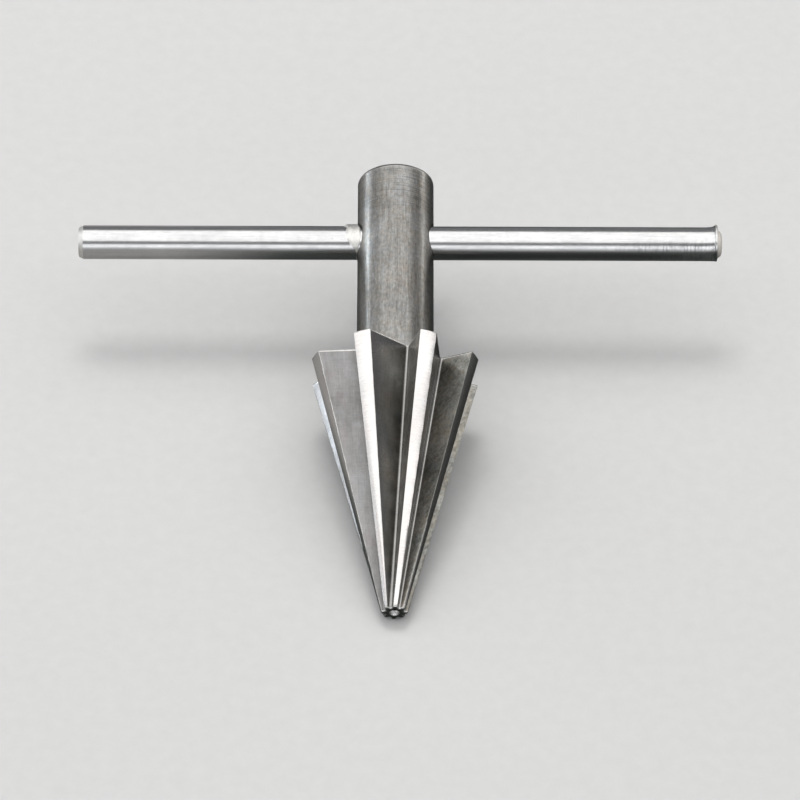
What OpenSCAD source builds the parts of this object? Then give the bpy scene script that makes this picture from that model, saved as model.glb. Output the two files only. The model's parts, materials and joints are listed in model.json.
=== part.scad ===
// T-handle pipe deburring reamer: an eight-fin conical reamer machined in one
// piece with its round shank, and a loose round T-bar that slides through a
// cross-hole near the shank's end. Millimetres.
//
// The tool is drawn upright (axis on Z, point at z = 0, bar along X), then
// laid down on its fins: the bench is z = 0, the bar runs along X, the point
// faces -Y.

/* [Cone] */
// diameter over the cutting lands at the big end
big_d = 40.5; // [36:0.5:44]
// diameter over the cutting lands at the point
tip_d = 6; // [5:0.1:8]
// length of the cone from point to shoulder
cone_len = 64; // [55:0.5:75]

/* [Flutes] */
// distance from the axis to the plane of each cutting face
face_offset = 1.3; // [0.6:0.05:1.6]
// width of the narrow flat at the bottom of a flute
root_w = 0.7; // [0.4:0.05:1]
// angle between a flute's cutting face and its back wall
flute_angle = 70; // [66:1:72]
// height of the flute bottom above the axis at the big end
root_big = 12.4; // [11.5:0.05:13]
// height of the flute bottom above the axis at the point
root_tip = 1.64; // [1.4:0.02:1.9]

/* [Shank] */
// shank diameter
shank_d = 18; // [16:0.5:20]
// shank length from the shoulder to its end
shank_len = 52.5; // [46:0.5:60]
// chamfer round the shank's end
shank_chamfer = 0.7; // [0.3:0.05:1.5]
// bar axis below the shank's end
bar_drop = 17; // [13:0.1:22]
// cross-hole diameter
hole_d = 8.16; // [8.06:0.02:8.18]
// depth of the countersink round each mouth of the cross-hole
hole_sink = 0.4; // [0.3:0.05:0.9]

/* [Centre holes] */
// mouth diameter of the centre hole in the point
tip_centre_d = 2.4; // [1.6:0.1:2.8]
// mouth diameter of the centre hole in the shank's end
end_centre_d = 5; // [3:0.5:7]

/* [T-bar] */
// bar diameter
bar_d = 8; // [7.98:0.01:8]
// bar length
bar_len = 152; // [130:1:180]
// bar overhang past the axis on the free (+X) side
bar_right = 77.1; // [70:0.1:85]
// chamfer on the plain end of the bar
bar_chamfer = 0.8; // [0.3:0.1:1.5]
// diameter of the upset ring that stops the bar against the shank
stop_d = 9; // [8.6:0.1:9.4]
// length of the upset ring
stop_len = 3.2; // [2:0.1:5]
// gap between the upset ring and the shank
stop_gap = 0.15; // [0.1:0.01:0.4]
// diameter of the peened lip near the free end
lip_d = 9.4; // [8.8:0.1:10]
// length of the peened lip along the bar
lip_len = 0.9; // [0.6:0.1:1.6]

/* [Hidden] */
$fn = 96;

steel = [0.62, 0.62, 0.60];
bright = [0.80, 0.81, 0.82];

big_r = big_d / 2;
tip_r = tip_d / 2;
shank_r = shank_d / 2;
bar_r = bar_d / 2;
hole_r = hole_d / 2;
total_len = cone_len + shank_len;
bar_z = total_len - bar_drop;

// offset that keeps surfaces from coinciding
sliver = 0.01;
// depth the shank is sunk into the cone
shank_overlap = 1;
// how far the cross-hole cutters run past the shank
hole_margin = 2;

// flute cutter: depth outward, and overruns before the point and past the cone
flute_reach = 30;
flute_lead = 8;
flute_tail = 12;

// centre-hole pilots, and the angle of the seat's side to the axis
tip_pilot_r = 0.45;
tip_pilot_depth = 2.8;
end_pilot_r = 1;
end_pilot_depth = 6;
seat_half_angle = 30;

// upset ring: length of its rise, and chamfer on the side facing the shank
stop_rise = 1;
stop_chamfer = 0.3;
// peened lip: parts of its length that rise and fall, and the fall in radius
lip_rise_share = 0.6;
lip_fall_share = 0.4;
lip_fall = 0.25;
// turned nose on the free end
nose_len = 1.2;
nose_r = 3.3;
nose_chamfer = 0.4;

// The flute bottoms rise in a straight line from the point to the big end.
root_slope = atan((root_big - root_tip) / cone_len);
// Where a flute's back wall meets the cone at the big end, as an angle before
// the next cutting face; the wall looks slightly flatter in a square section.
wall = atan(tan(flute_angle) * cos(root_slope));
wall_off = (face_offset + root_w) * cos(wall) - root_big * sin(wall);
wall_run = sqrt(big_r * big_r - wall_off * wall_off);
heel_gap = atan2(wall_off * cos(wall) + wall_run * sin(wall),
                 wall_run * cos(wall) - wall_off * sin(wall));

// The fins are turned so the tool lies level: one fin's heel and the next
// fin's cutting edge meet the bench at the same height.
fins = 8;
fin_step = 360 / fins;
edge_lead = asin(face_offset / big_r);
fin_phase = -(2 * fin_step - edge_lead - heel_gap) / 2;

// The fin nearest the bench leans on its cutting edge, land_low(r) below the
// axis where the cone's radius is r.
fin_lean = fin_step + fin_phase;
function land_low(r) = r * cos(max(0, fin_lean - asin(face_offset / r)));
function cone_r(z) = tip_r + (big_r - tip_r) * z / cone_len;

// pitch of the axis above the bench: the least slope from the big end's edge
// to the same edge at evenly spaced stations along the cone
stations = 60;
pitch = atan(min([for (i = [0:stations - 1])
    let (z = cone_len * i / stations)
    (land_low(big_r) - land_low(cone_r(z))) / (cone_len - z)]));
// height of the axis above the bench at the point
lift = land_low(big_r) * cos(pitch) - cone_len * sin(pitch);

// middle of the footprint: the point to the shank's end in Y, the bar in X
front_y = -tip_r * sin(pitch);
back_y = total_len * cos(pitch) + (shank_r - shank_chamfer) * sin(pitch);
mid_y = (front_y + back_y) / 2;
mid_x = bar_right - bar_len / 2;

// Lays the upright tool on the bench, footprint centred on the origin.
module on_bench() {
    translate([-mid_x, -mid_y, lift])
        rotate([pitch - 90, 0, 0])
            children();
}

// Puts children on the T-bar's axis, their Z along X.
module on_bar_axis() {
    translate([0, 0, bar_z])
        rotate([0, 90, 0])
            children();
}

// One flute: a straight prism whose bottom follows the sloping root line.
// Its flat side is the cutting face of the fin that follows it.
module flute() {
    root_len = cone_len / cos(root_slope);
    back_x = -face_offset - root_w;
    rotate([0, 0, fin_phase])
        translate([0, -root_tip, 0])
            rotate([root_slope, 0, 0])
                translate([0, 0, -flute_lead])
                    linear_extrude(height = root_len + flute_lead + flute_tail)
                        polygon([
                            [-face_offset, 0],
                            [-face_offset, -flute_reach],
                            [back_x - flute_reach * tan(flute_angle), -flute_reach],
                            [back_x, 0]
                        ]);
}

// Solid cone and shank before cutting.
module blank() {
    cylinder(h = cone_len, r1 = tip_r, r2 = big_r);
    translate([0, 0, cone_len - shank_overlap])
        cylinder(h = shank_len + shank_overlap - shank_chamfer, r = shank_r);
    translate([0, 0, total_len - shank_chamfer])
        cylinder(h = shank_chamfer, r1 = shank_r, r2 = shank_r - shank_chamfer);
}

// Cross-hole for the bar, with a 45 degree countersink at each mouth.
module cross_hole() {
    sink_len = hole_sink + hole_margin;
    on_bar_axis() {
        translate([0, 0, -shank_r - hole_margin])
            cylinder(h = shank_d + 2 * hole_margin, r = hole_r);
        for (turn = [0, 180])
            rotate([turn, 0, 0])
                translate([0, 0, shank_r - hole_sink])
                    cylinder(h = sink_len, r1 = hole_r, r2 = hole_r + sink_len);
    }
}

// Centre hole running up from z = 0: a conical seat and a small pilot.
module centre_hole(mouth_d, pilot_r, depth) {
    seat_len = (mouth_d - 2 * pilot_r) / 2 / tan(seat_half_angle);
    cylinder(h = seat_len, r1 = mouth_d / 2, r2 = pilot_r);
    cylinder(h = depth, r = pilot_r);
}

// Cone and shank, machined from one bar.
module reamer_body() {
    color(steel) on_bench() difference() {
        union() blank();
        for (i = [0:fins - 1])
            rotate([0, 0, i * fin_step]) flute();
        cross_hole();
        translate([0, 0, -sliver])
            centre_hole(tip_centre_d, tip_pilot_r, tip_pilot_depth);
        translate([0, 0, total_len + sliver])
            rotate([180, 0, 0])
                centre_hole(end_centre_d, end_pilot_r, end_pilot_depth);
    }
}

// One length of the bar, its radius running from r1 to r2.
module bar_part(start, length, r1, r2) {
    translate([0, 0, start])
        cylinder(h = length, r1 = r1, r2 = r2);
}

// Round bar: plain chamfered end on -X, an upset ring on the -X side of the
// shank, and a peened lip with a turned nose on the free end.
module t_bar() {
    plain_end = bar_right - bar_len;
    body_len = bar_len - bar_chamfer - nose_len - lip_len;
    stop_r = stop_d / 2;
    stop_end = -shank_r - stop_gap;
    stop_start = stop_end - stop_len;
    stop_flat = stop_len - (stop_rise + stop_chamfer);
    lip_r = lip_d / 2;
    lip_start = bar_right - nose_len - lip_len;
    lip_top = bar_right - nose_len - lip_len * lip_fall_share;
    color(bright) on_bench() on_bar_axis() {
        // plain end and body
        bar_part(plain_end, bar_chamfer, bar_r - bar_chamfer, bar_r);
        bar_part(plain_end + bar_chamfer, body_len, bar_r, bar_r);
        // upset ring
        bar_part(stop_start, stop_rise, bar_r - sliver, stop_r);
        bar_part(stop_start + stop_rise, stop_flat, stop_r, stop_r);
        bar_part(stop_end - stop_chamfer, stop_chamfer, stop_r, stop_r - stop_chamfer);
        // peened lip
        bar_part(lip_start, lip_len * lip_rise_share, bar_r - sliver, lip_r);
        bar_part(lip_top, lip_len * lip_fall_share, lip_r, lip_r - lip_fall);
        // turned nose
        bar_part(lip_start, lip_len + nose_len - nose_chamfer, nose_r, nose_r);
        bar_part(bar_right - nose_chamfer, nose_chamfer, nose_r, nose_r - nose_chamfer);
    }
}

reamer_body();
t_bar();
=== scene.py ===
# A tapered hand reamer: an eight-flute cone on a round shank, with a loose cross bar through
# the shank. It lies above a pale floor at z = 0; the bar runs along world X. Both pieces are
# built in millimetres in tool space, then moved to the frame's metres:
#   x along the bar, y away from the tool's up side, z from the point to the shank's end.
import json
import math
import bpy
import numpy as np
from mathutils import Matrix, Vector


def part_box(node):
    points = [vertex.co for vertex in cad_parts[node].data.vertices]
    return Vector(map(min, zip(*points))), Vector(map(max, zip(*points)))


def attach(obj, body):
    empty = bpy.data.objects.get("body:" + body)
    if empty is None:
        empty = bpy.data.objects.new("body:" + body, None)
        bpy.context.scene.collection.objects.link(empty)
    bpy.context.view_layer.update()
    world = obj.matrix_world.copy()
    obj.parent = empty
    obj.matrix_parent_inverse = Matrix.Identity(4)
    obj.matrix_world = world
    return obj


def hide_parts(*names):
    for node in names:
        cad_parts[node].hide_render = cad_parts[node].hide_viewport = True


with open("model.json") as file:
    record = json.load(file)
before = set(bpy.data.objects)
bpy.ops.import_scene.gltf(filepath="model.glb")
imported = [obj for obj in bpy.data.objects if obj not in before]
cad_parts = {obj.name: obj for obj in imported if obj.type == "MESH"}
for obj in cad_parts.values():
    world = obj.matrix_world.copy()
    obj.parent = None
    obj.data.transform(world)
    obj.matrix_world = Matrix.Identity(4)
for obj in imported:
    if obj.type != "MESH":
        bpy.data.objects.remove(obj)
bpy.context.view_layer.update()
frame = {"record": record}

TURN = 2 * math.pi

# ---------------------------------------------------------------- the frame
MOUNTS = {mount["name"]: mount for mount in frame["record"]["mounts"]}
AXIS = Vector(MOUNTS["shank_end"]["axis"]).normalized()    # along the tool, to the shank's end
ALONG_BAR = Vector((1.0, 0.0, 0.0))
UP = ALONG_BAR.cross(AXIS).normalized()                    # the tool's up side as it lies
TIP = Vector(MOUNTS["cone_seat"]["pos_m"]) - AXIS * 0.032  # the seat is 32 mm above the point
TO_WORLD = (Matrix.Scale(0.001, 4) @ Matrix.Translation(TIP * 1000)
            @ Matrix((ALONG_BAR, -UP, AXIS)).transposed().to_4x4())


def height_of(mount):
    """Height of a mount above the point, mm."""
    return (Vector(MOUNTS[mount]["pos_m"]) - TIP).dot(AXIS) * 1000.0


END = height_of("shank_end")
BAR_Z = height_of("bar_grip")
BAR_LOW, BAR_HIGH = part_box("t_bar")
X_LEFT = (BAR_LOW.x - TIP.x) * 1000.0
X_RIGHT = (BAR_HIGH.x - TIP.x) * 1000.0

# ---------------------------------------------------------------- dimensions, mm
R_BIG, R_TIP, CONE = 20.25, 3.0, 64.0       # cone: radii at shoulder and point, length
FLUTES = 8
PITCH = TURN / FLUTES
FACE_OFFSET = 1.3                           # cutting face to the axis
ROOT_WIDTH = 0.7                            # flat at the bottom of a flute
ROOT_BIG, ROOT_TIP = 12.4, 1.64             # root radius at shoulder and point
FLUTE_ANGLE = math.radians(70)
R_SHANK, CHAMFER = 9.0, 0.7
R_HOLE, R_BAR = 4.08, 4.0
CENTRE_SLOPE = math.tan(math.radians(30))   # flank of the centre holes
SLOPE = math.atan((ROOT_BIG - ROOT_TIP) / CONE)
WALL = math.atan(math.tan(FLUTE_ANGLE) * math.cos(SLOPE))   # back wall, seen along the axis
COS_WALL, SIN_WALL = math.cos(WALL), math.sin(WALL)


# ---------------------------------------------------------------- mesh building
class ToolMesh:
    """Points, faces, uvs (mm) and flute depths of one piece, in tool space."""

    def __init__(self):
        self.points, self.faces, self.slots, self.uvs, self.depths = [], [], [], [], []

    def point(self, place):
        self.points.append(tuple(float(c) for c in place))
        return len(self.points) - 1

    def ring(self, places):
        return [self.point(place) for place in places]

    def face(self, corners, slot, uv, depth=None):
        """depth: how deep each corner lies in a flute, 0 at the outside and 1 at the root"""
        self.faces.append(tuple(corners))
        self.slots.append(slot)
        self.uvs.append([tuple(float(c) for c in pair) for pair in uv])
        self.depths.append(depth or [0.0] * len(corners))

    def strip(self, a, b, slot, u, v_a, v_b, flip=True):
        """Quads between two closed rings; u has one extra closing value."""
        for i in range(len(a)):
            j = (i + 1) % len(a)
            quad = [a[i], a[j], b[j], b[i]]
            uv = [(u[i], v_a), (u[i + 1], v_a), (u[i + 1], v_b), (u[i], v_b)]
            if flip:
                quad.reverse()
                uv.reverse()
            self.face(quad, slot, uv)

    def cell(self, a, b, i, slot, u, v_a, v_b):
        """The single quad between column i and the next of two closed rings."""
        j = (i + 1) % len(a)
        self.face([a[i], b[i], b[j], a[j]], slot,
                  [(u[i], v_a), (u[i], v_b), (u[i + 1], v_b), (u[i + 1], v_a)])

    def fan(self, ring, centre, slot, order=(0, 1, 2), plane=(0, 1)):
        """Triangles to a centre. order arranges (this, next, centre); plane picks the uv axes."""
        middle = self.point(centre)
        for i in range(len(ring)):
            trio = (ring[i], ring[(i + 1) % len(ring)], middle)
            corners = [trio[k] for k in order]
            self.face(corners, slot, [[self.points[c][k] for k in plane] for c in corners])

    def circle(self, radius, z, angles):
        return self.ring([(radius * math.sin(a), -radius * math.cos(a), z) for a in angles])

    def turned(self, below, radius, z, angles, slot, u, v_below, v):
        """Adds a circle and joins it to the ring below."""
        ring = self.circle(radius, z, angles)
        self.strip(below, ring, slot, u, v_below, v)
        return ring

    def build(self, name, materials):
        mesh = bpy.data.meshes.new(name)
        mesh.from_pydata(self.points, [], self.faces)
        for material in materials:
            mesh.materials.append(material)
        mesh.polygons.foreach_set("material_index", self.slots)
        layer = mesh.uv_layers.new(name="mm")
        flat = [c for uv in self.uvs for pair in uv for c in pair]
        layer.data.foreach_set("uv", np.array(flat, np.float32))
        attribute = mesh.attributes.new("depth", "FLOAT", "CORNER")
        flat = [d for depth in self.depths for d in depth]
        attribute.data.foreach_set("value", np.array(flat, np.float32))
        mesh.polygons.foreach_set("use_smooth", [True] * len(self.faces))
        mesh.transform(TO_WORLD)
        # faces turned outwards: the signed volume must be positive
        mesh.calc_loop_triangles()
        volume = 0.0
        for triangle in mesh.loop_triangles:
            p, q, r = (mesh.vertices[i].co for i in triangle.vertices)
            volume += p.dot(q.cross(r))
        if volume < 0:
            mesh.flip_normals()
        mesh.validate(clean_customdata=False)
        mesh.update()
        ob = bpy.data.objects.new(name, mesh)
        bpy.context.scene.collection.objects.link(ob)
        # flat faces stay flat and the small edge bevels carry the turn
        mesh.set_sharp_from_angle(angle=math.radians(50.0))
        normals = ob.modifiers.new("normals", "WEIGHTED_NORMAL")
        normals.mode = "FACE_AREA"
        normals.weight = 100
        normals.keep_sharp = True
        return ob


def around(angles, scale):
    """u values round a ring, with the closing value one turn on."""
    turn = math.copysign(TURN, angles[-1] - angles[0])
    return [a * scale for a in (*angles, angles[0] + turn)]


# ---------------------------------------------------------------- the fluted section
# material slots of the body
SHANK, LAND, BACK, CUT, ROOT, EDGE, TURNED, BORE, RIM = range(9)

BACK_POINTS, FOOT_POINTS, CUT_POINTS, LAND_POINTS = 7, 4, 5, 4
WALL_FILLET = 0.14
FOOT_RADIUS = 0.40         # rounding at the cutting face's foot
EDGE_ROUND = 0.035         # rounding of the cutting edge
U_PER_FLUTE = 40.0         # sets each flute apart in the texture


def heel_at(radius, root, inset):
    """Where the back wall meets the cone as (t, r), and the wall's distance from the axis."""
    off = (FACE_OFFSET + ROOT_WIDTH) * COS_WALL - root * SIN_WALL + inset
    run = math.sqrt(radius * radius - off * off)
    heel = np.array((off * COS_WALL + run * SIN_WALL, run * COS_WALL - off * SIN_WALL))
    return heel, off


def sector(z, inset, bevel):
    """One flute and the land after it, from the previous fin's heel to this fin's heel.
    t is across the cutting face, r outwards along it. Returns (t, r, slot, u, depth) rows;
    the slot is that of the segment starting at the point."""
    radius = R_TIP + (R_BIG - R_TIP) * z / CONE - inset
    root = ROOT_TIP + (ROOT_BIG - ROOT_TIP) * z / CONE
    heel, off = heel_at(radius, root, inset)
    heel_angle = math.atan2(heel[0], heel[1])
    root -= inset
    face = FACE_OFFSET - inset
    face_top = math.sqrt(radius * radius - face * face)
    wall_foot = np.array(((off + root * SIN_WALL) / COS_WALL, root))
    wall = np.linalg.norm(wall_foot - heel)
    down = (wall_foot - heel) / wall
    heel_round = min(bevel, 0.12 * wall)
    rows = []

    def add(t, r, slot, u, depth=0.0):
        rows.append((t, r, slot, u, depth))

    def add_polar(angle, r, slot, u):
        add(r * math.sin(angle), r * math.cos(angle), slot, u)

    # back wall, from below the heel's rounding
    top, foot = heel + down * heel_round, wall_foot - down * WALL_FILLET
    for k in range(BACK_POINTS):
        s = k / (BACK_POINTS - 1)
        u = wall - heel_round - s * (wall - heel_round - WALL_FILLET)
        add(*(top * (1 - s) + foot * s), BACK, u, s)
    # root flat and the rounding at the face's foot
    add(wall_foot[0] - WALL_FILLET * 0.8, root, ROOT, 0.0, 1.0)
    tall = face_top - root
    rounding = min(FOOT_RADIUS, 0.35 * tall)
    for k in range(FOOT_POINTS):
        q = math.pi / 2 * k / FOOT_POINTS
        add(face + rounding * (1 - math.sin(q)), root + rounding * (1 - math.cos(q)),
            ROOT, 0.3 + rounding * q, 1.0)
    # cutting face
    edge_round = min(EDGE_ROUND, 0.08 * tall)
    for k in range(CUT_POINTS):
        s = k / (CUT_POINTS - 1)
        up = rounding + s * (tall - rounding - edge_round)
        add(face, root + up, CUT if k < CUT_POINTS - 1 else EDGE, up, 1.0 - s)
    # cutting edge, then the land
    edge_angle = math.atan2(face, face_top)
    turn = edge_round / radius
    add_polar(edge_angle - turn * 0.25, radius - edge_round * 0.22, EDGE, 0.5)
    start = edge_angle - turn
    end = heel_angle - PITCH + heel_round / radius
    for k in range(LAND_POINTS):
        a = start + (end - start) * (k / (LAND_POINTS - 1))
        add_polar(a, radius, LAND if k < LAND_POINTS - 1 else EDGE, (start - a) * radius)
    # middle of this fin's heel rounding: the previous fin's heel turned by one pitch
    add_polar(heel_angle - PITCH + 0.18 * heel_round / radius,
              np.linalg.norm(heel) - heel_round * 0.25, EDGE, 1.0)
    return rows


# hand grinding leaves the heels unevenly rounded: (frequency, phase, height) waves per fin
wear_rng = np.random.default_rng(11)
WEAR = [[(wear_rng.uniform(0.25, 2.2), wear_rng.uniform(0, 6.28), wear_rng.uniform(0.5, 1.0))
         for _ in range(7)] for _ in range(FLUTES)]


def wear(fin, z):
    """Factor on the heel's rounding at this height."""
    wave = sum(high * math.sin(often * z + phase) for often, phase, high in WEAR[fin]) / 3.2
    return 1.0 + 0.75 * max(-0.8, min(1.2, wave))


HEEL, _ = heel_at(R_BIG, ROOT_BIG, 0.0)
PHASE = -(math.pi / 2 - math.asin(FACE_OFFSET / R_BIG) - math.atan2(HEEL[0], HEEL[1])) / 2


def profile(z, inset=0.0, bevel=0.16):
    """All the sectors round the tool: points, segment slots, u values and flute depths."""
    points, slots, us, depths = [], [], [], []
    for fin in range(FLUTES):
        angle = PHASE + fin * PITCH
        sin, cos = math.sin(angle), math.cos(angle)
        for t, r, slot, u, depth in sector(z, inset, bevel * wear(fin, z)):
            # r runs outwards along the cutting face, t towards smaller angles
            points.append((r * sin - t * cos, -r * cos - t * sin, z))
            slots.append(slot)
            us.append(u + U_PER_FLUTE * fin)
            depths.append(depth)
    return points, slots, us, depths


def angles_of(points):
    return np.unwrap([math.atan2(p[0], -p[1]) for p in points])


def spread_evenly(angles):
    """Even spacing on whole steps, so the cross-hole's columns mirror, closest to the angles."""
    start = round(angles[0] / STEP) * STEP
    options = [start + (np.arange(COLUMNS) + shift) * STEP for shift in range(-6, 7)]
    return min(options, key=lambda even: float(np.sum(np.abs(angles - even))))


CONE_ANGLES = angles_of(profile(CONE)[0])
COLUMNS = len(CONE_ANGLES)
STEP = TURN / COLUMNS
EVEN_ANGLES = spread_evenly(CONE_ANGLES)
SHANK_U = around(EVEN_ANGLES, R_SHANK)
FACE_U = math.degrees(0.2)     # u per radian on the turned faces: 0.2 per degree

# ---------------------------------------------------------------- the reamer, point to shank
PILOT, COUNTERSINK = 0.45, 1.2     # radii of the nose's centre hole
NOSE_RIM = 0.26                    # rounding of the nose's rim
CONE_ROWS = 84
RUBBED_AND_HIGHLIT = CONE - 0.42               # the shoulder's rim is worn and painted bright from here up: a painted highlight line
SHANK_START = CONE + 0.36          # above the shoulder's fillet
EVENING = 7.0                      # length over which the shank's columns even out


def nose(mesh):
    """Centre hole and end face of the point."""
    angles = angles_of(profile(0.0, 0.1)[0])
    u = around(angles, 3.0)
    deep = (COUNTERSINK - PILOT) / CENTRE_SLOPE
    ring = mesh.circle(PILOT, 2.7, angles)
    # the inside of the centre hole in the dark bore steel: painted shade
    mesh.fan(ring, (0, 0, 3.0), BORE)
    # the last two rings are in the bright rim steel: a painted glint at the hole's mouth
    for radius, z, slot in ((PILOT, deep + 0.03, BORE), (PILOT + 0.06, deep - 0.08, BORE),
                            (COUNTERSINK - 0.06, 0.12, RIM), (COUNTERSINK + 0.05, 0.0, RIM)):
        ring = mesh.turned(ring, radius, z, angles, slot, u, -z - 1, -z)
    rim = mesh.ring(profile(0.0, NOSE_RIM, bevel=0.10)[0])
    mesh.strip(ring, rim, TURNED, around(angles, math.degrees(1.0)), 1.2, 2.8)
    return rim


def cone(mesh, below):
    """The fluted cone, from the nose's rounded rim to the shoulder's."""
    stations = [(0.04, 0.17), (0.13, 0.07), (0.30, 0.0)]      # z, inset
    stations += [(0.30 + (CONE - 0.64) * (k / CONE_ROWS) ** 0.92, 0.0)
                 for k in range(1, CONE_ROWS)]
    stations += [(RUBBED_AND_HIGHLIT, 0.0), (CONE - 0.24, 0.0), (CONE - 0.07, 0.07)]
    z_below = 0.0
    for z, inset in stations:
        points, slots, us, depths = profile(z, inset, 0.05 + 0.05 * min(1.0, z / 20.0))
        ring = mesh.ring(points)
        for i, slot in enumerate(slots):
            j = (i + 1) % COLUMNS
            # narrow segments get a u width of their own, so no seam between slots stretches
            u, u_next = us[i], us[i] + 0.3 if slot in (EDGE, ROOT) else us[j]
            # the nose's rim in the bright rim steel: a painted glint
            if z < 0.35:
                slot = RIM
            # above it the bright edge steel: worn steel with a painted highlight line
            elif z > RUBBED_AND_HIGHLIT + 0.01 and slot != LAND:
                slot = EDGE
            mesh.face([ring[i], ring[j], below[j], below[i]], slot,
                      [(u, z), (u_next, z), (u_next, z_below), (u, z_below)],
                      [depths[i], depths[j], depths[j], depths[i]])
        # corners above start at column i as the lower rings' strips do
        below, z_below = ring, z
    return below


def shoulder(mesh, below):
    """Rim, flat face and the fillet to the shank."""
    u = around(CONE_ANGLES, FACE_U)
    points = profile(CONE, 0.24, 0.2)[0]
    ring = mesh.ring(points)
    mesh.strip(below, ring, EDGE, u, 0.0, 0.2)
    done = 0.0
    for s in (0.35, 0.7, 1.0):
        inward = []
        for point, angle in zip(points, CONE_ANGLES):
            r = math.hypot(point[0], point[1])
            r += (R_SHANK + 0.35 - r) * s
            inward.append((r * math.sin(angle), -r * math.cos(angle), CONE))
        below, ring = ring, mesh.ring(inward)
        mesh.strip(below, ring, TURNED, u, 10 * done, 10 * s)
        done = s
    for radius, z in ((R_SHANK + 0.16, CONE + 0.05), (R_SHANK + 0.04, CONE + 0.17),
                      (R_SHANK, SHANK_START)):
        ring = mesh.turned(ring, radius, z, CONE_ANGLES, TURNED, SHANK_U, z - 0.3, z)
    return ring


def lower_shank(mesh, ring):
    """Shank up to the band with the cross-hole."""
    evened = SHANK_START + EVENING
    z_below = SHANK_START
    for z in (*np.linspace(SHANK_START, evened, 8)[1:], *np.linspace(evened, BAND_LOW, 14)[1:]):
        s = min(1.0, (z - SHANK_START) / EVENING)
        angles = CONE_ANGLES * (1 - s) + EVEN_ANGLES * s
        ring = mesh.turned(ring, R_SHANK, z, angles, SHANK, SHANK_U, z_below, z)
        z_below = z
    return ring


# ---------------------------------------------------------------- the cross-hole
BAND = 7.0                                   # half height of the band round the hole
BAND_LOW, BAND_HIGH = BAR_Z - BAND, BAR_Z + BAND
BAND_HEIGHTS = list(np.linspace(BAND_LOW, BAND_HIGH, 13))
PATCH_ANGLE = math.radians(42.5)             # half width of a mouth's patch
PATCH = int(round(PATCH_ANGLE / STEP))       # the same in columns
SINK_X = R_SHANK - 0.4                       # |x| where the 45 degree countersink starts
# over the lip and down into the bore: share of the lip's radius (the rest is the hole's),
# added radius, drop below the shank, greatest |x|, v span
# the first step lies on the shank round the lip, in the dark bore steel: a painted shadow line
# round the mouth
BORE_STEPS = [
    (1.0, 0.24, 0.0, R_SHANK, 1), (1.0, 0.02, 0.09, R_SHANK, 1), (0.6, 0.0, 0.24, 8.85, 1),
    (0.0, 0.015, 0.42, 8.55, 1), (0.0, 0.0, 1.2, 6.9, 1), (0.0, 0.0, 2.0, 4.5, 3),
]


def hole_band(mesh, ring):
    """The band of shank with the two mouths, and the bore between them."""
    centres = [min(range(COLUMNS), key=lambda i: abs(
        math.remainder(EVEN_ANGLES[i] - side * math.pi / 2, TURN))) for side in (1, -1)]
    covered = {(c + d) % COLUMNS for c in centres for d in range(-PATCH, PATCH)}
    hollow = {(c + d) % COLUMNS for c in centres for d in range(-PATCH + 1, PATCH)}
    rows = [ring]
    for z in BAND_HEIGHTS[1:]:
        rows.append([
            None if i in hollow and z != BAND_HEIGHTS[-1]
            else mesh.point((R_SHANK * math.sin(a), -R_SHANK * math.cos(a), z))
            for i, a in enumerate(EVEN_ANGLES)])
    for k in range(1, len(rows)):
        for i in range(COLUMNS):
            if i not in covered:
                mesh.cell(rows[k - 1], rows[k], i, SHANK, SHANK_U,
                          BAND_HEIGHTS[k - 1], BAND_HEIGHTS[k])
    (ring_a, u), (ring_b, _) = [hole_mouth(mesh, rows, side, centre)
                                for side, centre in zip((1, -1), centres)]
    # join the mouths through the middle: match by the hole's own (y, z)
    match = [min(ring_b, key=lambda b: (mesh.points[b][1] - mesh.points[a][1]) ** 2
                 + (mesh.points[b][2] - mesh.points[a][2]) ** 2) for a in ring_a]
    if len(set(match)) != len(ring_a):
        raise RuntimeError("the two hole mouths don't pair up")
    mesh.strip(ring_a, match, BORE, u, 5, 14)
    return rows[-1]


def mouth_radius(direction):
    """Radius where the countersunk hole meets the shank; direction 0 is along the tool."""
    sin = math.sin(direction)
    low, high = R_HOLE, 5.5
    if SINK_X ** 2 + (R_HOLE * sin) ** 2 < R_SHANK ** 2:
        for _ in range(40):
            mid = (low + high) / 2
            if (SINK_X + mid - R_HOLE) ** 2 + (mid * sin) ** 2 < R_SHANK ** 2:
                low = mid
            else:
                high = mid
    return max(low, R_HOLE + 0.12)


def lip_radius(direction, side):
    """The mouth's lip wanders a little, as a hand-held countersink leaves it."""
    worn = math.exp(-(math.remainder(direction + 2.3 * side, TURN) / 0.45) ** 2)
    return mouth_radius(direction) * (
        1.0 + 0.012 * math.sin(2 * direction + side) + 0.008 * math.sin(5 * direction + 2)
        + (0.045 if side > 0 else 0.02) * worn)


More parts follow.
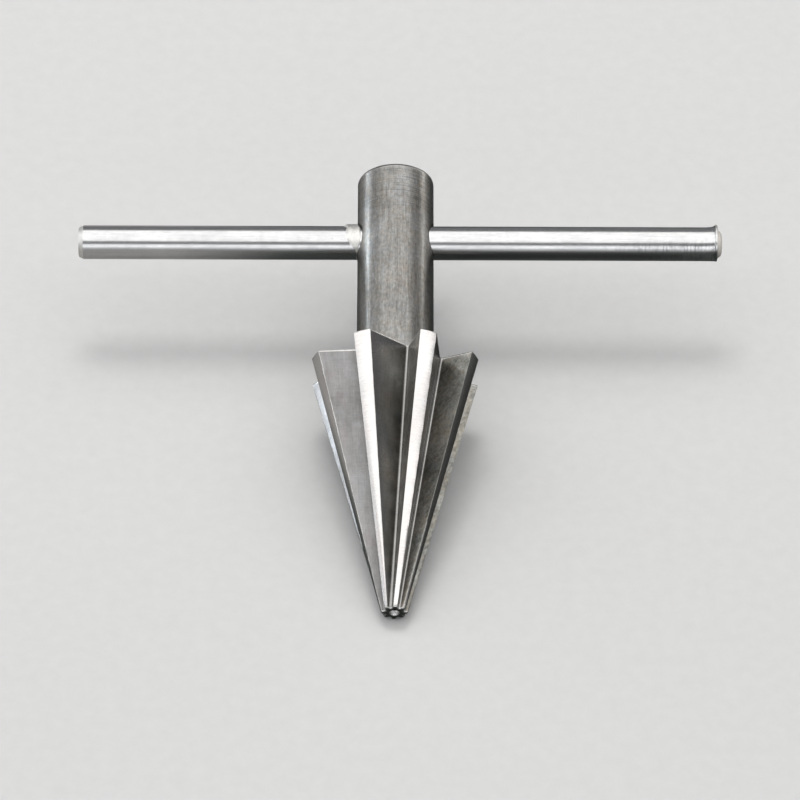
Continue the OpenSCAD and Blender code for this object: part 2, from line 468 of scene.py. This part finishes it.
def hole_mouth(mesh, rows, side, centre):
    """One mouth on the +x or -x side: the patch of shank round it, its lip and half the bore."""
    offsets = range(-PATCH, PATCH + 1)
    columns = [(centre + d) % COLUMNS for d in offsets]
    angles = [side * math.pi / 2 + d * STEP for d in offsets]
    last, end = len(rows) - 1, len(columns) - 1
    border = ([(0, k) for k in range(end + 1)] + [(row, end) for row in range(1, last)]
              + [(last, k) for k in range(end, -1, -1)]
              + [(row, 0) for row in range(last - 1, 0, -1)])
    ring = [rows[row][columns[k]] for row, k in border]
    outline = [(angles[k], BAND_HEIGHTS[row]) for row, k in border]
    directions = np.unwrap([
        math.atan2((a - side * math.pi / 2) / PATCH_ANGLE, (z - BAR_Z) / BAND)
        for a, z in outline])
    lips = [lip_radius(p, side) for p in directions]

    def on_shank(r, p):
        """(angle, z) of the shank's point at radius r from the hole's axis"""
        y = side * r * math.sin(p)
        return math.atan2(math.sqrt(R_SHANK ** 2 - y * y) * side, -y), BAR_Z + r * math.cos(p)

    curve = [on_shank(lip + 0.50, p) for lip, p in zip(lips, directions)]
    below, places_below = ring, outline
    for s in (0.3, 0.6, 0.85, 1.0):
        places = [(a0 + (a1 - a0) * s, z0 + (z1 - z0) * s)
                  for (a0, z0), (a1, z1) in zip(outline, curve)]
        ring = mesh.ring([(R_SHANK * math.sin(a), -R_SHANK * math.cos(a), z)
                          for a, z in places])
        for i in range(len(ring)):
            j = (i + 1) % len(ring)
            corners = places[i], places[j], places_below[j], places_below[i]
            mesh.face([ring[i], ring[j], below[j], below[i]], SHANK,
                      [(a * R_SHANK, z) for a, z in corners])
        below, places_below = ring, places

    u = around(directions, 4.0)
    for share, extra, drop, x_most, v_span in BORE_STEPS:
        points = []
        for lip, p in zip(lips, directions):
            r = lip * share + R_HOLE * (1 - share) + extra
            x = min(math.sqrt(R_SHANK ** 2 - (r * math.sin(p)) ** 2) - drop, x_most)
            points.append((side * x, side * r * math.sin(p), BAR_Z + r * math.cos(p)))
        ring = mesh.ring(points)
        mesh.strip(below, ring, BORE, u, drop, drop + v_span)
        below = ring
    return below, u


# ---------------------------------------------------------------- the shank's end
END_PILOT, END_SINK = 1.0, 2.5     # radii of the centre hole


def upper_shank(mesh, ring):
    """Above the hole: to the chamfered end and its centre hole."""
    top = END - CHAMFER
    stations = [(R_SHANK, z, SHANK) for z in np.linspace(BAND_HIGH, top - 0.42, 6)[1:]]
    # the chamfer's roundings in the bright edge steel: a painted highlight line on worn steel
    stations += [
        (R_SHANK - 0.03, top - 0.14, TURNED), (R_SHANK - 0.11, top + 0.14, EDGE),
        (R_SHANK - 0.27, top + 0.38, EDGE), (R_SHANK - 0.52, top + 0.58, TURNED),
        (R_SHANK - 0.80, END - 0.02, EDGE), (R_SHANK - 1.0, END, EDGE),
    ]
    z_below = BAND_HIGH
    for radius, z, slot in stations:
        ring = mesh.turned(ring, radius, z, EVEN_ANGLES, slot, SHANK_U, z_below, z)
        z_below = z
    u = around(EVEN_ANGLES, FACE_U)
    outer = R_SHANK - 1.0
    for radius in (6.5, 4.5, 2.6):
        ring = mesh.turned(ring, radius, END, EVEN_ANGLES, TURNED, u, 20 - outer, 20 - radius)
        outer = radius
    sink_end = END - (END_SINK - END_PILOT) / CENTRE_SLOPE
    # the centre hole in the dark bore steel: painted shade
    for radius, z in ((END_SINK - 0.03, END - 0.06), (END_PILOT + 0.08, sink_end + 0.1),
                      (END_PILOT, sink_end - 0.1), (END_PILOT, END - 5.9)):
        ring = mesh.turned(ring, radius, z, EVEN_ANGLES, BORE, u, 30 - radius, 31 - radius)
    mesh.fan(ring, (0, 0, END - 6.0), BORE, order=(2, 1, 0))


def reamer(materials):
    mesh = ToolMesh()
    ring = nose(mesh)
    for part in (cone, shoulder, lower_shank, hole_band, upper_shank):
        ring = part(mesh, ring)
    return mesh.build("reamer_body_look", materials)


# ---------------------------------------------------------------- the bar
# angles round the bar: 0 on the tool's up side, positive towards the shank's end
BAR_METAL, STAKED, BAR_END = range(3)
BAR_COLUMNS = 96
FILED_LENGTH, FILED_DEPTH = 1.1, 0.62       # shallow cone on the left end
STOP = -R_SHANK - 0.15                      # right end of the staked patch
STAKE_SIDE = math.radians(70)               # middle of the staked patch
LIP = X_RIGHT - 1.2                         # outer edge of the peened lip

# lumps on the staked patch: waves round the bar, their phase, waves along it, their phase
lump_rng = np.random.default_rng(7)
LUMPS = [(lump_rng.integers(2, 9), lump_rng.uniform(0, 6.28),
          lump_rng.uniform(0.6, 2.2), lump_rng.uniform(0, 6.28)) for _ in range(9)]

# rings of the right end. Lip: x beyond LIP, drop from the lip's top; nose: x beyond LIP, radius
LIP_RINGS = [(0.06, 0.02), (0.10, 0.10)]
NOSE_RINGS = [
    (0.08, 3.55), (0.10, 3.36), (0.20, 3.27), (0.45, 3.17), (0.72, 3.00),
    (0.94, 2.76), (1.08, 2.50), (1.17, 2.20), (1.2, 1.9), (1.2, 1.0),
]


def smooth(start, end, x):
    t = min(1.0, max(0.0, (x - start) / (end - start)))
    return t * t * (3 - 2 * t)


def lip_height(p):
    return max(0.04, 0.34 + 0.27 * math.cos(p - 0.95) + 0.03 * math.sin(3 * p + 1.0)
               + 0.018 * math.sin(7 * p))


def from_stake(p):
    """Angle away from the middle of the staked patch."""
    return abs(math.remainder(p - STAKE_SIDE, TURN))


def patch_left(p):
    """Left edge of the staked patch: straight at its middle, slanting to nothing opposite."""
    width = 2.9 * (1 - smooth(math.radians(72), math.radians(152), from_stake(p)))
    return STOP - width + 0.10 * math.sin(5 * p) + 0.07 * math.sin(13 * p + 1)


def hugged(x, p):
    """x moved so that the staked part follows the shank's round side."""
    gap = R_SHANK - math.sqrt(R_SHANK ** 2 - (4.45 * math.cos(p)) ** 2)
    return x + 0.75 * gap * smooth(STOP - 5.0, STOP, x) * (1 - smooth(STOP + 1.5, STOP + 5.0, x))


def bar_radius(x, p):
    r = R_BAR
    if x - X_LEFT < FILED_LENGTH:
        r = R_BAR - FILED_DEPTH * (1 - (x - X_LEFT) / FILED_LENGTH)
    if STOP - 5 < x < STOP + 0.4:               # raised by staking
        left = patch_left(p)
        rise = smooth(left - 0.06, left + 0.45, x) * (1 - smooth(STOP - 0.20, STOP + 0.0, x))
        lumps = sum(math.sin(w * p + a) * math.sin(k * (x - STOP) * 2 + c)
                    for w, a, k, c in LUMPS) / 9
        high = (0.07 + 0.41 * (1 - smooth(math.radians(15), math.radians(95), from_stake(p)))
                + 0.12 * lumps)
        r += rise * max(0.0, min(0.5, high))
    if x > LIP - 3.0:                           # pushed outwards towards the peened end
        s = min(1.0, (x - (LIP - 3.0)) / 2.7)
        r += lip_height(p) * (0.34 * s ** 2 + 0.66 * s ** 7)
    return r


def bar_slot(x, p):
    """Material of the bar's side at this place."""
    staked = patch_left(p) < x < STOP + 0.06
    hammered = lip_height(p) > 0.30 and x > LIP - 0.26 - 0.12 * math.sin(3 * p)
    filed = x < X_LEFT + FILED_LENGTH
    return STAKED if staked or hammered or filed else BAR_METAL


def bar_stations():
    """x of the rings along the bar's side."""
    return [
        *(X_LEFT + d for d in (0.10, 0.16, 0.45, 0.80, 1.04, 1.10, 1.15, 1.5, 3.0)),
        *np.arange(X_LEFT + 6.0, STOP - 6.0, 4.0),
        *np.linspace(STOP - 5.0, STOP - 4.2, 3),
        *np.linspace(STOP - 4.0, STOP, 26),
        STOP + 0.05, STOP + 0.3,
        *np.arange(-8.0, LIP - 6.0, 4.0),
        *np.linspace(LIP - 4.5, LIP - 3.0, 4),
        *np.linspace(LIP - 2.8, LIP - 1.0, 12),
        *np.linspace(LIP - 0.9, LIP, 14),
    ]


def bar(materials):
    mesh = ToolMesh()
    angles = [TURN * i / BAR_COLUMNS for i in range(BAR_COLUMNS)]
    u = around(angles, R_BAR)

    def bar_ring(x, radius_at):
        points = []
        for p in angles:
            r = radius_at(p)
            points.append((hugged(x, p), -r * math.cos(p), BAR_Z + r * math.sin(p)))
        return mesh.ring(points)

    # left end face
    stations = bar_stations()
    x_below = stations[0]
    below = inner = bar_ring(x_below, lambda p: bar_radius(x_below, p))
    for x, radius, v_from, v_to in ((X_LEFT + 0.01, 3.28, 0, 0.3), (X_LEFT, 2.2, 1.0, 2.1),
                                    (X_LEFT, 1.1, 2.1, 3.2)):
        outer, inner = inner, bar_ring(x, lambda p: radius)
        mesh.strip(outer, inner, BAR_END, u, v_from, v_to, flip=False)
    mesh.fan(inner, (X_LEFT, 0, BAR_Z), BAR_END, plane=(1, 2))
    # side
    for x in stations[1:]:
        ring = bar_ring(x, lambda p: bar_radius(x, p))
        for i, p in enumerate(angles):
            slot = bar_slot((x + x_below) / 2, p + math.pi / BAR_COLUMNS)
            mesh.cell(below, ring, i, slot, u, x_below, x)
        below, x_below = ring, x
    # behind the lip: a narrow ledge, then the turned nose
    tail = [(dx, BAR_METAL, lambda p, drop=drop: R_BAR + lip_height(p) - drop)
            for dx, drop in LIP_RINGS]
    tail += [(dx, BAR_END, lambda p, radius=radius: radius) for dx, radius in NOSE_RINGS]
    v = x_below
    for dx, slot, radius_at in tail:
        ring = bar_ring(LIP + dx, radius_at)
        mesh.strip(below, ring, slot, u, v, v + 0.3)
        below, v = ring, v + 0.3
    mesh.fan(below, (X_RIGHT, 0, BAR_Z), BAR_END, order=(1, 0, 2), plane=(1, 2))
    return mesh.build("t_bar_look", materials)


# ---------------------------------------------------------------- shader nodes
class Nodes:
    """Short ways to add nodes to one tree; each returns the output it is used for."""

    def __init__(self, tree):
        self.tree = tree

    def add(self, kind, **settings):
        node = self.tree.nodes.new(kind)
        for key, value in settings.items():
            setattr(node, key, value)
        return node

    def feed(self, socket, value):
        """Links an output, or sets a plain value (colours without alpha)."""
        if isinstance(value, bpy.types.NodeSocket):
            self.tree.links.new(value, socket)
        else:
            socket.default_value = (*value, 1) if socket.type == "RGBA" else value

    def mapping(self, vector, scale=(1, 1, 1), shift=(0, 0, 0), turn=0.0):
        node = self.add("ShaderNodeMapping")
        node.inputs["Scale"].default_value = scale
        node.inputs["Location"].default_value = shift
        node.inputs["Rotation"].default_value = (0, 0, turn)
        self.feed(node.inputs["Vector"], vector)
        return node.outputs["Vector"]

    def noise(self, vector, stretch, shift=(0, 0), detail=4, rough=0.6, distortion=0.0,
              stretch_z=1):
        mapped = self.mapping(vector, (*stretch, stretch_z), (*shift, 0))
        node = self.add("ShaderNodeTexNoise")
        for key, value in (("Scale", 1.0), ("Detail", detail), ("Roughness", rough),
                           ("Distortion", distortion), ("Vector", mapped)):
            self.feed(node.inputs[key], value)
        return node.outputs["Fac"]

    def ramp(self, value, stops):
        node = self.add("ShaderNodeValToRGB")
        elements = node.color_ramp.elements
        for element, (position, colour) in zip(elements, (stops[0], stops[-1])):
            element.position, element.color = position, (*colour, 1)
        for position, colour in stops[1:-1]:
            elements.new(position).color = (*colour, 1)
        self.feed(node.inputs["Fac"], value)
        return node.outputs["Color"]

    def mask(self, value, start, end):
        """Black up to start, white from end."""
        return self.ramp(value, [(start, (0, 0, 0)), (end, (1, 1, 1))])

    def math(self, operation, a, b):
        node = self.add("ShaderNodeMath", operation=operation)
        self.feed(node.inputs[0], a)
        self.feed(node.inputs[1], b)
        return node.outputs[0]

    def plus(self, a, b):
        return self.math("ADD", a, b)

    def times(self, a, b):
        return self.math("MULTIPLY", a, b)

    def remap(self, value, to_min, to_max, from_min=0.0, from_max=1.0):
        node = self.add("ShaderNodeMapRange")
        for key, number in (("To Min", to_min), ("To Max", to_max), ("From Min", from_min),
                            ("From Max", from_max), ("Value", value)):
            self.feed(node.inputs[key], number)
        return node.outputs["Result"]

    def mix(self, factor, a, b, blend="MIX"):
        node = self.add("ShaderNodeMix", data_type="RGBA", blend_type=blend)
        for index, value in ((0, factor), (6, a), (7, b)):
            self.feed(node.inputs[index], value)
        return node.outputs[2]

    def multiply(self, a, b):
        return self.mix(1.0, a, b, "MULTIPLY")

    def split(self, vector):
        node = self.add("ShaderNodeSeparateXYZ")
        self.feed(node.inputs[0], vector)
        return node.outputs

    def bump(self, height, strength, distance_mm, normal=None):
        node = self.add("ShaderNodeBump")
        node.inputs["Strength"].default_value = strength
        node.inputs["Distance"].default_value = distance_mm * 0.001
        self.feed(node.inputs["Height"], height)
        if normal is not None:
            self.feed(node.inputs["Normal"], normal)
        return node.outputs[0]


def principled(name):
    material = bpy.data.materials.new(name)
    material.use_nodes = True
    material.node_tree.nodes.clear()
    nodes = Nodes(material.node_tree)
    output = nodes.add("ShaderNodeOutputMaterial")
    shader = nodes.add("ShaderNodeBsdfPrincipled")
    nodes.feed(output.inputs[0], shader.outputs[0])
    return material, nodes, shader.inputs


# ---------------------------------------------------------------- steel
# the uv layer is in millimetres: u across, v along the tool or bar
def grain_lines(nodes, uv, grain, turn, cross):
    """Fine, coarse and short lines along the grain, and a crossing set if there is one."""
    def layer(across, along, shift, detail, rough):
        return nodes.noise(nodes.mapping(uv, turn=turn), (grain[0] * across, grain[1] * along),
                           shift, detail, rough)

    fine = layer(1, 1, (0, 0), 5, 0.62)
    coarse = layer(0.27, 0.5, (3.1, 7.7), 5, 0.62)
    short = layer(1.3, 5.0, (13.1, 4.7), 3, 0.55)
    cloud = nodes.noise(uv, (0.12, 0.072), (11.3, 2.1), 6, 0.65, 0.4)
    lines = nodes.plus(nodes.times(fine, 0.40), nodes.times(coarse, 0.35))
    lines = nodes.plus(lines, nodes.times(short, 0.25))
    if cross:
        across, along, weight = cross
        crossing = nodes.noise(uv, (across, along), (1.7, 9.1), 5, 0.6)
        lines = nodes.plus(nodes.times(lines, 1 - weight), nodes.times(crossing, weight))
    return lines, cloud


def tinted(nodes, uv, colour, tint):
    """The tint in soft patches."""
    patch = nodes.noise(uv, (0.16, 0.10), (21.3, 8.1))
    return nodes.mix(nodes.mask(patch, 0.42, 0.62), colour, nodes.multiply(colour, tint))


def mottled(nodes, uv, colour, amount):
    """Darker spots, and a drift between cool and warm."""
    spots = nodes.noise(uv, (1.25, 0.95), (17.3, 6.6), 3, 0.7)
    hue = nodes.noise(uv, (0.75, 0.60), (4.9, 13.2), 2, 0.5)
    low = 1.0 - 2.0 * amount
    colour = nodes.multiply(colour, nodes.ramp(spots, [(0.36, (low,) * 3), (0.62, (1, 1, 1))]))
    return nodes.multiply(colour, nodes.ramp(
        hue, [(0.38, (0.955, 0.985, 1.0)), (0.62, (1.0, 0.975, 0.945))]))


def painted_depth_shade(nodes, uv, colour, strength, start):
    """Painted shade: the colour darkens deeper in the flute, towards its root."""
    depth = nodes.add("ShaderNodeAttribute", attribute_name="depth").outputs["Fac"]
    ragged = nodes.noise(uv, (0.9, 0.35), (6.1, 3.7))
    level = nodes.plus(depth, nodes.times(nodes.math("SUBTRACT", ragged, 0.5), 0.5))
    level = nodes.remap(level, 0.0, strength, from_min=start)
    return nodes.mix(level, colour, nodes.multiply(colour, (0.30, 0.30, 0.285)))


def steel(name, base, dark, rough, grain, bump, grain_turn=0.0, streak=0.5, blotch=0.35,
          contrast=1.0, cross=None, tint=None, mottle=0.0, specks=0.0, marks=None, depth_shade=None,
          anisotropic=0.0, wave=0.0, dents=None):
    """A steel surface.
    base, dark: colours of its light and dark parts; rough: their roughness
    grain: lines per mm along u and v, turned by grain_turn; bump: their height, mm
    cross: (u scale, v scale, weight) of a crossing set of lines
    streak, blotch: weights of the lines and of the slow clouds in the tone
    marks(nodes, uv): returns a 0..1 darkening mask
    depth_shade: painted shade deeper in the flute, as (strength, flute depth where it starts)
    wave: height of slow unevenness, mm; dents(nodes, uv) weights its shorter lumps"""
    material, nodes, inputs = principled(name)
    inputs["Metallic"].default_value = 1.0
    uv = nodes.add("ShaderNodeUVMap", uv_map="mm").outputs[0]
    lines, cloud = grain_lines(nodes, uv, grain, grain_turn, cross)
    tone = nodes.plus(nodes.times(lines, streak), nodes.times(cloud, blotch))
    tone = nodes.math("DIVIDE", tone, streak + blotch)

    half = 0.14 / contrast
    middle = tuple((a + b) / 2 for a, b in zip(base, dark))
    colour = nodes.ramp(tone, [(0.5 - half, dark), (0.5, middle), (0.5 + half, base)])
    if tint:
        colour = tinted(nodes, uv, colour, tint)
    if mottle:
        colour = mottled(nodes, uv, colour, mottle)
    if specks:
        spots = nodes.mask(nodes.noise(uv, (2.6, 2.2), (5.5, 1.5), 3), 0.64, 0.70)
        colour = nodes.mix(nodes.times(spots, specks), colour, tuple(c * 0.40 for c in dark))
    if marks:
        colour = nodes.mix(marks(nodes, uv), colour, tuple(c * 0.55 for c in dark))
    # painted shade: the colour darkens deeper in the flute
    if depth_shade:
        colour = painted_depth_shade(nodes, uv, colour, *depth_shade)
    nodes.feed(inputs["Base Color"], colour)
    nodes.feed(inputs["Roughness"], nodes.remap(tone, rough[1], rough[0], 0.3, 0.7))

    if anisotropic:
        inputs["Anisotropic"].default_value = anisotropic
        tangent = nodes.add("ShaderNodeTangent", direction_type="UV_MAP", uv_map="mm")
        nodes.feed(inputs["Tangent"], tangent.outputs[0])
    normal = None
    if wave:
        slow = nodes.noise(uv, (0.28, 0.07), (2.3, 5.9), 2, 0.5)
        lumps = nodes.noise(uv, (0.30, 0.20), (8.3, 1.9), 2, 0.5)
        slow = nodes.plus(slow, nodes.times(lumps, dents(nodes, uv)))
        normal = nodes.bump(slow, strength=1.0, distance_mm=wave)
    nodes.feed(inputs["Normal"], nodes.bump(lines, 0.8, bump, normal))
    return material


def band(nodes, uv, low, high, soft):
    """1 between v = low and v = high, fading over soft millimetres"""
    v = nodes.split(uv)["Y"]
    return nodes.times(nodes.remap(v, 0.0, 1.0, low - soft, low),
                       nodes.remap(v, 1.0, 0.0, high, high + soft))


def lathe_lines(nodes, uv):
    """Rings left by turning, clearest towards the shank's end."""
    rings = nodes.mask(nodes.noise(uv, (0.10, 2.4), (0.7, 3.3), 3), 0.48, 0.64)
    return nodes.times(nodes.times(rings, band(nodes, uv, END - 9.0, END + 5.0, 9.0)), 0.55)


def end_marks(nodes, uv):
    """Crosswise marks and smudges close to the bar's peened end, on part of its girth."""
    rings = nodes.mask(nodes.noise(uv, (0.16, 2.6), (4.7, 3.3), 3), 0.50, 0.66)
    turned = nodes.mapping(uv, turn=math.pi / 2)               # its y is the bar's u
    side = band(nodes, turned, 15.5, 22.3, 1.6)
    rings = nodes.times(rings, band(nodes, uv, X_RIGHT - 9.0, X_RIGHT + 5.0, 26.0))
    smudge = nodes.mask(nodes.noise(uv, (0.55, 0.50), (9.4, 0.6), 4, 0.65), 0.50, 0.66)
    smudge = nodes.times(smudge, band(nodes, uv, X_RIGHT - 12.0, X_RIGHT + 5.0, 22.0))
    both = nodes.math("MAXIMUM", rings, nodes.times(smudge, 0.75))
    return nodes.times(nodes.times(both, side), 0.75)


def end_dents(nodes, uv):
    """The bar is knocked about towards its peened end."""
    return nodes.times(band(nodes, uv, X_RIGHT - 14.0, X_RIGHT + 5.0, 30.0), 0.55)


# in the order of the body's slots
BODY_STEELS = [
    steel("shank_steel", base=(0.44, 0.438, 0.431), dark=(0.183, 0.177, 0.170),
          rough=(0.235, 0.36), grain=(3.4, 0.16), bump=0.010, streak=0.62, blotch=0.34,
          contrast=1.25, tint=(1.0, 0.965, 0.915), mottle=0.14, specks=0.45,
          marks=lathe_lines, anisotropic=0.25),
    steel("land_ground", base=(0.84, 0.83, 0.815), dark=(0.66, 0.645, 0.635),
          rough=(0.15, 0.28), grain=(0.35, 3.4), bump=0.003, blotch=0.5,
          tint=(1.0, 0.965, 0.955)),
    steel("flute_back_milled", base=(0.365, 0.365, 0.37), dark=(0.18, 0.178, 0.174),
          rough=(0.22, 0.36), grain=(2.8, 0.14), bump=0.007, streak=0.55, blotch=0.45,
          contrast=1.15, cross=(0.25, 3.0, 0.28), tint=(1.0, 0.965, 0.95), specks=0.2,
          depth_shade=(0.55, 0.1)),
    steel("cutting_face_milled", base=(0.58, 0.575, 0.545), dark=(0.18, 0.18, 0.166),
          rough=(0.26, 0.44), grain=(1.9, 0.42), bump=0.010, grain_turn=0.70, streak=0.55,
          blotch=0.42, contrast=1.4, tint=(1.0, 0.94, 0.87), mottle=0.17, specks=0.7,
          depth_shade=(0.75, 0.40)),
    steel("flute_root", base=(0.46, 0.45, 0.437), dark=(0.253, 0.248, 0.241),
          rough=(0.20, 0.34), grain=(2.0, 0.14), bump=0.005, contrast=1.1),
    # partly wear, partly painted highlight: the rounded edges are brighter than the faces beside
    # them
    steel("worn_edge_and_highlight", base=(0.72, 0.71, 0.69), dark=(0.44, 0.43, 0.41),
          rough=(0.18, 0.34), grain=(1.0, 1.4), bump=0.003, contrast=1.2),
    steel("turned_face", base=(0.50, 0.49, 0.47), dark=(0.24, 0.23, 0.21),
          rough=(0.24, 0.42), grain=(0.10, 3.4), bump=0.010, streak=0.6, blotch=0.4,
          specks=0.3),
    # painted shade: the holes and a line round the cross-hole's mouths are far darker than the
    # steel
    steel("bore_painted_shade", base=(0.17, 0.165, 0.155), dark=(0.045, 0.042, 0.04),
          rough=(0.40, 0.62), grain=(0.5, 2.0), bump=0.010),
    # painted glint: the nose's rim and its centre hole's mouth are near white
    steel("rim_painted_glint", base=(0.98, 0.975, 0.96), dark=(0.70, 0.69, 0.67),
          rough=(0.20, 0.36), grain=(1.0, 1.4), bump=0.004, contrast=1.2),
]
# in the order of the bar's slots
BAR_STEELS = [
    steel("bar_bright", base=(0.815, 0.815, 0.815), dark=(0.56, 0.56, 0.565),
          rough=(0.15, 0.29), grain=(3.4, 0.07), bump=0.0025, streak=0.6,
          cross=(0.8, 0.5, 0.20), specks=0.35, marks=end_marks, wave=0.022, dents=end_dents),
    steel("staked_matt", base=(1.0, 0.995, 0.97), dark=(0.66, 0.645, 0.61),
          rough=(0.42, 0.58), grain=(1.5, 1.7), bump=0.035, streak=0.6, blotch=0.4,
          contrast=1.25),
    steel("bar_end_cut", base=(1.0, 0.965, 0.92), dark=(0.70, 0.665, 0.63),
          rough=(0.58, 0.76), grain=(0.5, 2.2), bump=0.010, specks=0.3),
]

body = reamer(BODY_STEELS)
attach(body, "reamer")
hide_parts("reamer_body")

t_bar = bar(BAR_STEELS)
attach(t_bar, "bar")
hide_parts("t_bar")

# ---------------------------------------------------------------- floor
FLOOR_HALF = 6.0
# fades on the floor, m: axis, where the fade is 0, where it is 1
OUTER_FADES = [("X", -0.028, -0.056), ("X", 0.098, 0.125), ("Y", -0.12, -0.16)]
# the painted shadow that only glossy rays see on the floor: axis, where the fade is 0, where it is
# 1
PAINTED_SHADOW_FADES = [("X", 0.006, 0.016), ("X", 0.076, 0.062), ("Y", 0.036, 0.020),
               ("Y", -0.064, -0.046)]


def floor_material():
    """Pale to the eye; glossy rays see it painted darker, a painted reflection with a painted
    shadow, so the steel's edges keep their contrast.
    """
    material, nodes, inputs = principled("floor_plain")
    place = nodes.add("ShaderNodeTexCoord").outputs["Object"]
    tone = nodes.noise(place, (300, 300), stretch_z=300)
    pale = nodes.ramp(tone, [(0.3, (0.583, 0.583, 0.579)), (0.7, (0.607, 0.607, 0.603))])
    glossy = nodes.add("ShaderNodeLightPath").outputs["Is Glossy Ray"]
    axes = nodes.split(place)

    def joined(operation, fades):
        result = None
        for axis, zero, one in fades:
            part = nodes.remap(axes[axis], 0.0, 1.0, zero, one)
            result = part if result is None else nodes.math(operation, result, part)
        return result

    outer = joined("MAXIMUM", OUTER_FADES)
    # painted shadow: darkest close by on the right, where the tool shades the floor it mirrors
    painted_shadow = joined("MULTIPLY", PAINTED_SHADOW_FADES)
    under = nodes.mix(painted_shadow, (0.050, 0.0557, 0.0517), (0.017, 0.019, 0.0178))
    # painted reflection: glossy rays see a darker floor near the tool and a lighter one further out
    painted_reflection = nodes.mix(outer, under, (0.274, 0.270, 0.262))
    nodes.feed(inputs["Base Color"], nodes.mix(glossy, pale, painted_reflection))
    inputs["Roughness"].default_value = 0.8
    inputs["Specular IOR Level"].default_value = 0.2
    return material


def floor():
    mesh = bpy.data.meshes.new("floor")
    corners = [(x * FLOOR_HALF, y * FLOOR_HALF, 0) for x, y in ((-1, -1), (1, -1), (1, 1), (-1, 1))]
    mesh.from_pydata(corners, [], [(0, 1, 2, 3)])
    ob = bpy.data.objects.new("floor", mesh)
    bpy.context.scene.collection.objects.link(ob)
    ob.location.z = -0.00003
    mesh.materials.append(floor_material())
    return ob


floor()

# ---------------------------------------------------------------- lights
MIDDLE = TIP + AXIS * 0.058
WHITE, COOL, WARM = (1.0, 0.995, 0.985), (0.97, 0.985, 1.0), (1.0, 0.98, 0.95)


def softbox(name, place, target, size, radiance, colour):
    light = bpy.data.lights.new(name, "AREA")
    light.shape = "RECTANGLE"
    light.size, light.size_y = size
    light.energy = radiance * math.pi * size[0] * size[1]
    light.color = colour
    ob = bpy.data.objects.new(name, light)
    bpy.context.scene.collection.objects.link(ob)
    ob.location = place
    ob.rotation_euler = (Vector(target) - Vector(place)).to_track_quat("-Z", "Y").to_euler()
    return ob


# name, place, target, size (m), radiance, colour
SOFTBOXES = [
    # two boxes overhead and a lower one in front: the gap draws the bar's dark line
    ("soft_top", (-0.05, -0.285, 1.25), (-0.05, -0.285, 0.0), (3.0, 1.27), 1.22, WHITE),
    ("soft_back", (-0.05, 0.765, 1.25), (-0.05, 0.765, 0.0), (2.45, 0.83), 1.22, WHITE),
    ("soft_front", (0.0, -1.95, 0.735), MIDDLE, (2.4, 0.80), 1.15, COOL),
    ("soft_low", (0.0, -1.9, 0.17), MIDDLE, (2.4, 0.34), 0.42, COOL),
    ("side_right", (2.15, -0.75, 0.75), MIDDLE, (1.5, 1.1), 0.62, (1.0, 0.99, 0.97)),
    ("side_left", (-2.1, -0.95, 0.75), MIDDLE, (1.5, 1.1), 0.62, COOL),
    ("soft_left", (-1.75, 0.45, 0.85), MIDDLE, (1.8, 1.0), 0.66, COOL),
    ("soft_right", (1.25, 1.15, 0.70), MIDDLE, (0.8, 0.9), 0.47, WARM),
    # low strips at both sides: the thin bright lines down the shank's flanks
    ("strip_left", (-1.50, 0.68, 0.125), MIDDLE, (1.0, 0.26), 5.8, (0.87, 0.935, 1.0)),
    ("strip_right", (1.34, 1.02, 0.18), MIDDLE, (0.66, 0.31), 2.15, WARM),
]
for box in SOFTBOXES:
    softbox(*box)
# a smaller box overhead draws the bar's shadow on the floor; it doesn't show in the steel
shadow = softbox("soft_shadow", place=(-0.10, 0.46, 1.25), target=MIDDLE, size=(0.45, 0.36),
                 radiance=9.0, colour=(1.0, 0.99, 0.975))
shadow.visible_glossy = False

# ---------------------------------------------------------------- world
# height of the direction from 0 straight down to 1 straight up, colour
SKY = [
    (0.0, (0.05, 0.055, 0.055)), (0.490, (0.10, 0.11, 0.11)), (0.505, (0.30, 0.31, 0.33)),
    (0.530, (0.26, 0.27, 0.28)), (0.555, (0.17, 0.175, 0.18)), (1.0, (0.22, 0.22, 0.225)),
]
world = bpy.data.worlds.new("studio")
bpy.context.scene.world = world
world.use_nodes = True
sky = Nodes(world.node_tree)
background = world.node_tree.nodes["Background"]
direction = sky.add("ShaderNodeTexCoord").outputs["Generated"]
height = sky.remap(sky.split(direction)["Z"], 0.0, 1.0, from_min=-1.0)
sky.feed(background.inputs[0], sky.ramp(height, SKY))
background.inputs[1].default_value = 1.0

# ---------------------------------------------------------------- camera
CAMERA_PLACE = Vector((-2.010, -919.335, 935.922)) * 0.001
CAMERA_RIGHT = Vector((0.99996873, 0.00447345, 0.00652159)).normalized()
CAMERA_FORWARD = Vector((0.00145534, 0.70646496, -0.70774652)).normalized()
CAMERA_ROLL = math.radians(-0.25)
SHIFT_RIGHT, SHIFT_DOWN = 0.00016, 0.00033      # of the camera, across its view, m

camera_data = bpy.data.cameras.new("camera")
camera_data.lens = 251.2
camera_data.sensor_width = 36.0
camera_data.clip_end = 20
camera = bpy.data.objects.new("camera", camera_data)
bpy.context.scene.collection.objects.link(camera)
level_up = CAMERA_RIGHT.cross(CAMERA_FORWARD)
cos_roll, sin_roll = math.cos(CAMERA_ROLL), math.sin(CAMERA_ROLL)
right = CAMERA_RIGHT * cos_roll + level_up * sin_roll
up = level_up * cos_roll - CAMERA_RIGHT * sin_roll
place = CAMERA_PLACE + (right * SHIFT_RIGHT - up * SHIFT_DOWN)
rotation = Matrix((right, up, -CAMERA_FORWARD)).transposed()
camera.matrix_world = Matrix.Translation(place) @ rotation.to_4x4()
bpy.context.scene.camera = camera
bpy.context.scene.view_settings.view_transform = "Standard"
